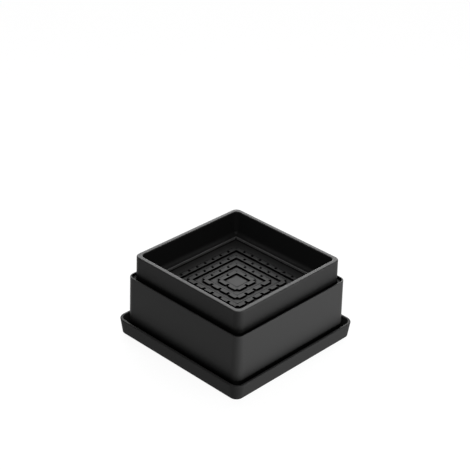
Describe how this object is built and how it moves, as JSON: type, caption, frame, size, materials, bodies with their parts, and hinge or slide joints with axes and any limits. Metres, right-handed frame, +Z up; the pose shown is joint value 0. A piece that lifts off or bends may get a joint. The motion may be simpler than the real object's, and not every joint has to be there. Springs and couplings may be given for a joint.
{
  "type": "bed riser",
  "caption": "Square stacked bed riser: a lipped foot, a hollow ribbed block and an open-topped cup with a grip pad for a furniture leg.",
  "frame": {"origin": "centre of the underside of the foot, on the surface it stands on", "axes": "+Z up along the riser's axis; +X and +Y square to its sides"},
  "size_m": [0.1418, 0.1418, 0.074],
  "materials": {
    "foot_rubber": "satin black moulded rubber",
    "block_plastic": "fine matt black moulded plastic",
    "cup_plastic": "fine matt black moulded plastic",
    "pad_rubber": "matt black grip rubber with raised notched squares"
  },
  "bodies": {
    "root": {"foot": "foot_rubber", "block": "block_plastic", "cup": "cup_plastic", "grip_pad": "pad_rubber"}
  },
  "joints": []
}
